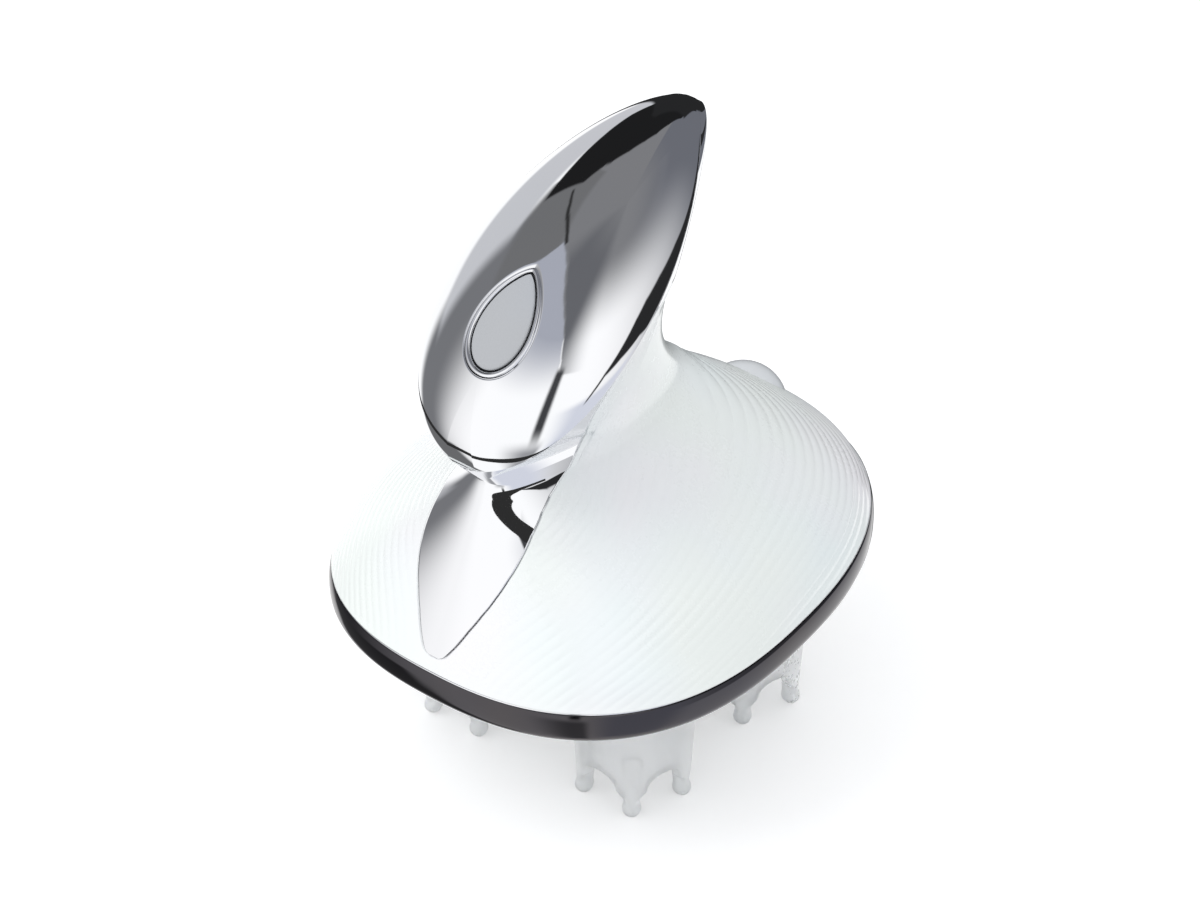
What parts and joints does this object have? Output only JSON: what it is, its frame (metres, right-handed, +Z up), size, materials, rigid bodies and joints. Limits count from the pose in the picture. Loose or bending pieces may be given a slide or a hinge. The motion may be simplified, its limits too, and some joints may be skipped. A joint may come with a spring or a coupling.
{
  "type": "electric scalp massager",
  "caption": "Handheld electric scalp massager: fluted pearl shell, chrome leaf handle with button, dark rim band and turning silicone finger heads.",
  "frame": {"origin": "on the plane under the fingertips, at the axis of the central drive gear, which is the middle of the rim band", "axes": "+Z up along the head spindles, -Y towards the front with the handle's heel and the spine's tongue, +X to the right seen from the front"},
  "size_m": [0.1066, 0.1282, 0.1507],
  "materials": {
    "shell": "pearl gloss with fine flutes",
    "chrome": "mirror chrome plating on plastic",
    "dark_chrome": "dark gunmetal chrome plating",
    "seal": "soft matt rubber",
    "base": "white satin plastic",
    "pod": "smooth light grey gloss",
    "contact": "gold-plated contact",
    "button": "frosted grey",
    "black_plastic": "matt black",
    "circuit": "green solder mask",
    "cell": "shrink-wrapped cell",
    "inner_plastic": "moulded grey plastic",
    "motor_can": "drawn steel can",
    "brass": "turned brass",
    "gear_plastic": "natural moulded acetal",
    "steel": "ground steel",
    "hub_plastic": "white moulded plastic",
    "silicone": "soft translucent milky silicone"
  },
  "bodies": {
    "housing": {"upper_shell": "shell", "front_spine": "chrome", "handle_face": "chrome", "base_band": "dark_chrome", "base_gasket": "seal", "base_plate": "base", "screw_ring": "inner_plastic", "rear_pod": "pod", "charge_contacts": "contact", "button_bezel": "chrome", "button_seal": "seal", "tact_switch": "black_plastic", "switch_board": "circuit", "control_board": "circuit", "battery": "cell", "battery_cradle": "inner_plastic", "motor": "motor_can", "motor_clamp": "inner_plastic", "drive_axle": "steel", "gear_plate": "inner_plastic", "base_screws": "steel", "plate_screws": "steel", "spindle_bush_1": "brass", "spindle_bush_2": "brass", "spindle_bush_3": "brass", "spindle_bush_4": "brass", "shaft_seal_1": "seal", "shaft_seal_2": "seal", "shaft_seal_3": "seal", "shaft_seal_4": "seal"},
    "button": {"button_cap": "button"},
    "drive": {"drive_gear": "gear_plastic"},
    "rotor": {"motor_shaft": "steel", "motor_pinion": "brass"},
    "head_1": {"head_gear_1": "gear_plastic", "head_spindle_1": "steel", "head_hub_1": "hub_plastic", "head_cup_1": "silicone"},
    "head_2": {"head_gear_2": "gear_plastic", "head_spindle_2": "steel", "head_hub_2": "hub_plastic", "head_cup_2": "silicone"},
    "head_3": {"head_gear_3": "gear_plastic", "head_spindle_3": "steel", "head_hub_3": "hub_plastic", "head_cup_3": "silicone"},
    "head_4": {"head_gear_4": "gear_plastic", "head_spindle_4": "steel", "head_hub_4": "hub_plastic", "head_cup_4": "silicone"}
  },
  "joints": [
    {"name": "button_press", "type": "slide", "parent": "housing", "child": "button", "axis": [0, 0.7071, -0.7071], "range_m": [0, 0.0008], "stiffness_N_per_m": 700, "springref_m": -0.0006},
    {"name": "drive_spin", "type": "hinge", "parent": "housing", "child": "drive", "pos_m": [0, 0, 0.05], "axis": [0, 0, 1], "continuous": true},
    {"name": "rotor_spin", "type": "hinge", "parent": "housing", "child": "rotor", "pos_m": [0, -0.0216, 0.05], "axis": [0, 0, 1], "continuous": true},
    {"name": "head_1_spin", "type": "hinge", "parent": "housing", "child": "head_1", "pos_m": [0.02205, 0.02034, 0.03], "axis": [0, 0, 1], "continuous": true},
    {"name": "head_2_spin", "type": "hinge", "parent": "housing", "child": "head_2", "pos_m": [-0.02205, 0.02034, 0.03], "axis": [0, 0, 1], "continuous": true},
    {"name": "head_3_spin", "type": "hinge", "parent": "housing", "child": "head_3", "pos_m": [-0.02205, -0.02034, 0.03], "axis": [0, 0, 1], "continuous": true},
    {"name": "head_4_spin", "type": "hinge", "parent": "housing", "child": "head_4", "pos_m": [0.02205, -0.02034, 0.03], "axis": [0, 0, 1], "continuous": true}
  ],
  "couplings": [
    {"joint": "rotor_spin", "follows": "drive_spin", "ratio": -3.5},
    {"joint": "head_1_spin", "follows": "drive_spin", "ratio": -0.66667},
    {"joint": "head_2_spin", "follows": "drive_spin", "ratio": -0.66667},
    {"joint": "head_3_spin", "follows": "drive_spin", "ratio": -0.66667},
    {"joint": "head_4_spin", "follows": "drive_spin", "ratio": -0.66667}
  ]
}
